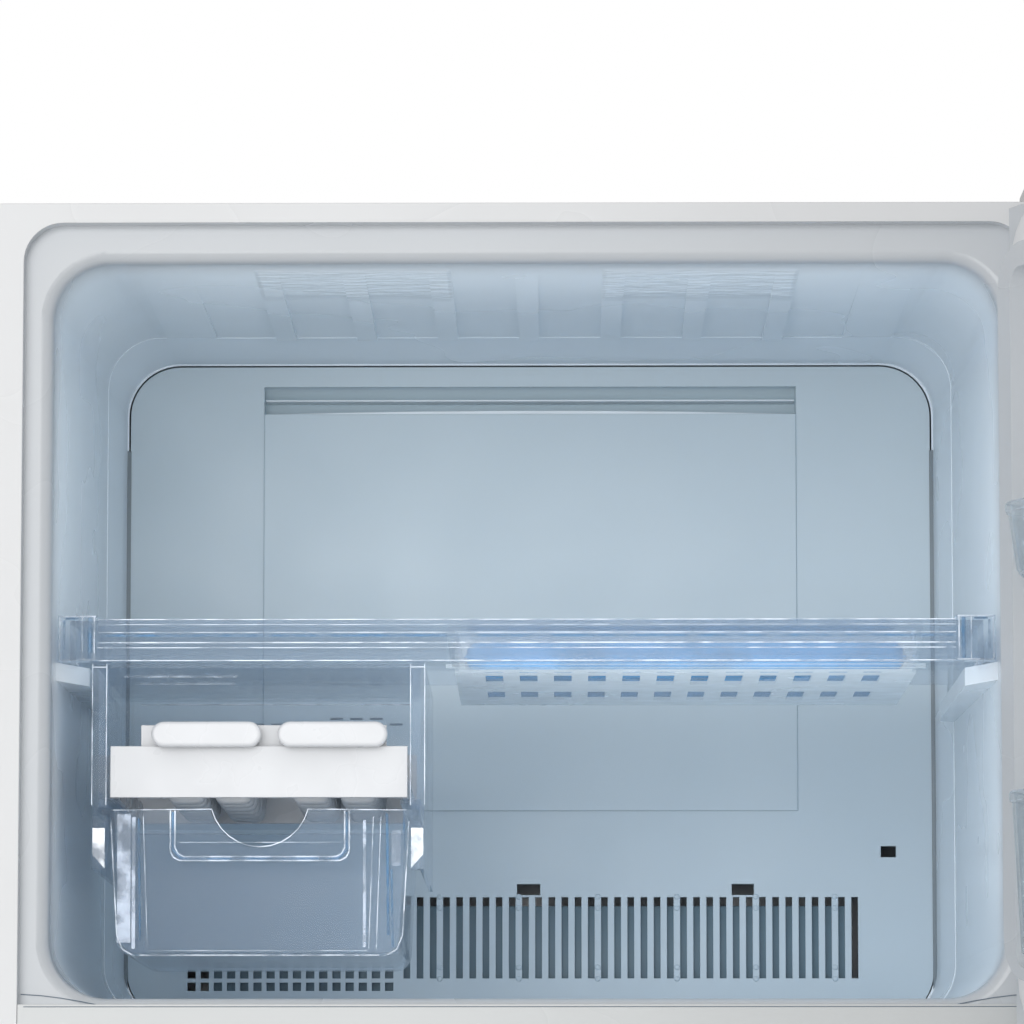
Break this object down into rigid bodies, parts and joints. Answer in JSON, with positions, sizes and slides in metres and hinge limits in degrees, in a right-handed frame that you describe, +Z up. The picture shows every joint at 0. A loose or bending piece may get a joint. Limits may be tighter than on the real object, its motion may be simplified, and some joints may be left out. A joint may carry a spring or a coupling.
{
  "type": "top freezer refrigerator",
  "caption": "Free-standing refrigerator with a freezer over a fresh food room, both doors open, with a twist ice maker, ice bin, clear shelf and door bins.",
  "frame": {"origin": "on the floor under the middle of the cabinet", "axes": "+X to the right seen from the front, +Y to the back, +Z up; the front faces -Y"},
  "size_m": [1.0213, 1.268, 1.718],
  "materials": {
    "cabinet_paint": "smooth off-white enamel",
    "steel_sheet": "galvanised sheet",
    "insulation": "rigid polyurethane foam",
    "liner_plastic": "smooth cool white sheet plastic",
    "mullion_plastic": "smooth light grey",
    "panel_plastic": "soft satin grey",
    "fin_metal": "bare",
    "motor_plastic": "moulded",
    "fan_plastic": "moulded",
    "clear_plastic": "clear, slightly blue",
    "white_plastic": "smooth white",
    "tray_plastic": "soft white",
    "tray_tint": "translucent pale blue",
    "cool_pack_film": "blue film over gel",
    "shelf_glass": "tempered",
    "crisper_plastic": "clear",
    "lamp_plastic": "frosted",
    "grey_plastic": "fine grain",
    "hinge_steel": "zinc grey",
    "cover_plastic": "fine grain",
    "compressor_paint": "black enamel",
    "coil_steel": "black enamel",
    "dark_plastic": "moulded",
    "foot_plastic": "moulded",
    "gasket_rubber": "soft grey",
    "door_paint": "smooth off-white enamel",
    "handle_metal": "satin"
  },
  "bodies": {
    "cabinet": {"outer_wrapper": "cabinet_paint", "rear_panel": "steel_sheet", "base_pan": "steel_sheet", "cabinet_foam": "insulation", "freezer_liner": "liner_plastic", "fridge_liner": "liner_plastic", "mullion_cover": "mullion_plastic", "freezer_back_panel": "panel_plastic", "slot_louvre": "panel_plastic", "evaporator": "fin_metal", "fan_motor": "motor_plastic", "freezer_shelf": "clear_plastic", "shelf_rail": "clear_plastic", "ice_housing": "clear_plastic", "pack_tray": "tray_tint", "cool_pack": "cool_pack_film", "glass_shelves": "shelf_glass", "crisper_cover": "shelf_glass", "duct_cover": "white_plastic", "control_housing": "white_plastic", "lamp_cover": "lamp_plastic", "switch_housing": "white_plastic", "compressor": "compressor_paint", "condenser": "coil_steel", "drain_pan": "dark_plastic", "kick_plate": "grey_plastic", "top_hinge": "hinge_steel", "hinge_cover": "cover_plastic", "middle_hinge": "hinge_steel", "bottom_hinge": "hinge_steel"},
    "freezer_door": {"freezer_door_skin": "door_paint", "freezer_door_foam": "insulation", "freezer_door_liner": "liner_plastic", "freezer_door_gasket": "gasket_rubber", "freezer_door_handle": "handle_metal", "freezer_bin_upper": "clear_plastic", "freezer_bin_lower": "clear_plastic"},
    "fridge_door": {"fridge_door_skin": "door_paint", "fridge_door_foam": "insulation", "fridge_door_liner": "liner_plastic", "fridge_door_gasket": "gasket_rubber", "fridge_door_handle": "handle_metal", "fridge_bin_upper": "clear_plastic", "fridge_bin_middle": "clear_plastic", "fridge_bin_lower": "clear_plastic"},
    "ice_unit": {"ice_frame": "white_plastic"},
    "ice_twist_left": {"ice_tray_left": "tray_plastic", "ice_lever_left": "white_plastic"},
    "ice_twist_right": {"ice_tray_right": "tray_plastic", "ice_lever_right": "white_plastic"},
    "ice_drawer": {"ice_bin": "clear_plastic"},
    "crisper_left_drawer": {"crisper_left": "crisper_plastic"},
    "crisper_right_drawer": {"crisper_right": "crisper_plastic"},
    "knob": {"control_knob": "grey_plastic"},
    "switch_button": {"switch_plunger": "white_plastic"},
    "fan": {"fan_blade": "fan_plastic"},
    "front_foot_left": {"foot_left": "foot_plastic"},
    "front_foot_right": {"foot_right": "foot_plastic"},
    "rear_roller_left": {"roller_left": "foot_plastic"},
    "rear_roller_right": {"roller_right": "foot_plastic"}
  },
  "joints": [
    {"name": "freezer_door_swing", "type": "hinge", "parent": "cabinet", "child": "freezer_door", "pos_m": [0.34, -0.334, 1.4], "axis": [0, 0, 1], "range_deg": [-115, 15]},
    {"name": "fridge_door_swing", "type": "hinge", "parent": "cabinet", "child": "fridge_door", "pos_m": [0.34, -0.334, 0.6], "axis": [0, 0, 1], "range_deg": [-115, 15]},
    {"name": "ice_unit_slide", "type": "slide", "parent": "cabinet", "child": "ice_unit", "axis": [0, -1, 0], "range_m": [0, 0.14]},
    {"name": "ice_lever_left_twist", "type": "hinge", "parent": "ice_unit", "child": "ice_twist_left", "pos_m": [-0.212, -0.2, 1.352], "axis": [0, 1, 0], "range_deg": [0, 110], "stiffness_Nm_per_rad": 0.25},
    {"name": "ice_lever_right_twist", "type": "hinge", "parent": "ice_unit", "child": "ice_twist_right", "pos_m": [-0.1284, -0.2, 1.352], "axis": [0, 1, 0], "range_deg": [0, 110], "stiffness_Nm_per_rad": 0.25},
    {"name": "ice_bin_slide", "type": "slide", "parent": "cabinet", "child": "ice_drawer", "axis": [0, -1, 0], "range_m": [0, 0.2]},
    {"name": "crisper_left_slide", "type": "slide", "parent": "cabinet", "child": "crisper_left_drawer", "axis": [0, -1, 0], "range_m": [0, 0.19]},
    {"name": "crisper_right_slide", "type": "slide", "parent": "cabinet", "child": "crisper_right_drawer", "axis": [0, -1, 0], "range_m": [0, 0.19]},
    {"name": "control_knob_turn", "type": "hinge", "parent": "cabinet", "child": "knob", "pos_m": [0.07, -0.25, 1.073], "axis": [0, 1, 0], "range_deg": [-150, 150]},
    {"name": "door_switch_press", "type": "slide", "parent": "cabinet", "child": "switch_button", "axis": [0, 1, 0], "range_m": [0, 0.006], "stiffness_N_per_m": 250},
    {"name": "fan_spin", "type": "hinge", "parent": "cabinet", "child": "fan", "pos_m": [0, 0.19, 1.56], "axis": [0, 1, 0], "continuous": true},
    {"name": "foot_left_screw", "type": "hinge", "parent": "cabinet", "child": "front_foot_left", "pos_m": [-0.3, -0.24, 0.02], "axis": [0, 0, 1], "range_deg": [-180, 180]},
    {"name": "foot_right_screw", "type": "hinge", "parent": "cabinet", "child": "front_foot_right", "pos_m": [0.3, -0.24, 0.02], "axis": [0, 0, 1], "range_deg": [-180, 180]},
    {"name": "roller_left_roll", "type": "hinge", "parent": "cabinet", "child": "rear_roller_left", "pos_m": [-0.304, 0.24, 0.016], "axis": [1, 0, 0], "continuous": true},
    {"name": "roller_right_roll", "type": "hinge", "parent": "cabinet", "child": "rear_roller_right", "pos_m": [0.304, 0.24, 0.016], "axis": [1, 0, 0], "continuous": true}
  ]
}
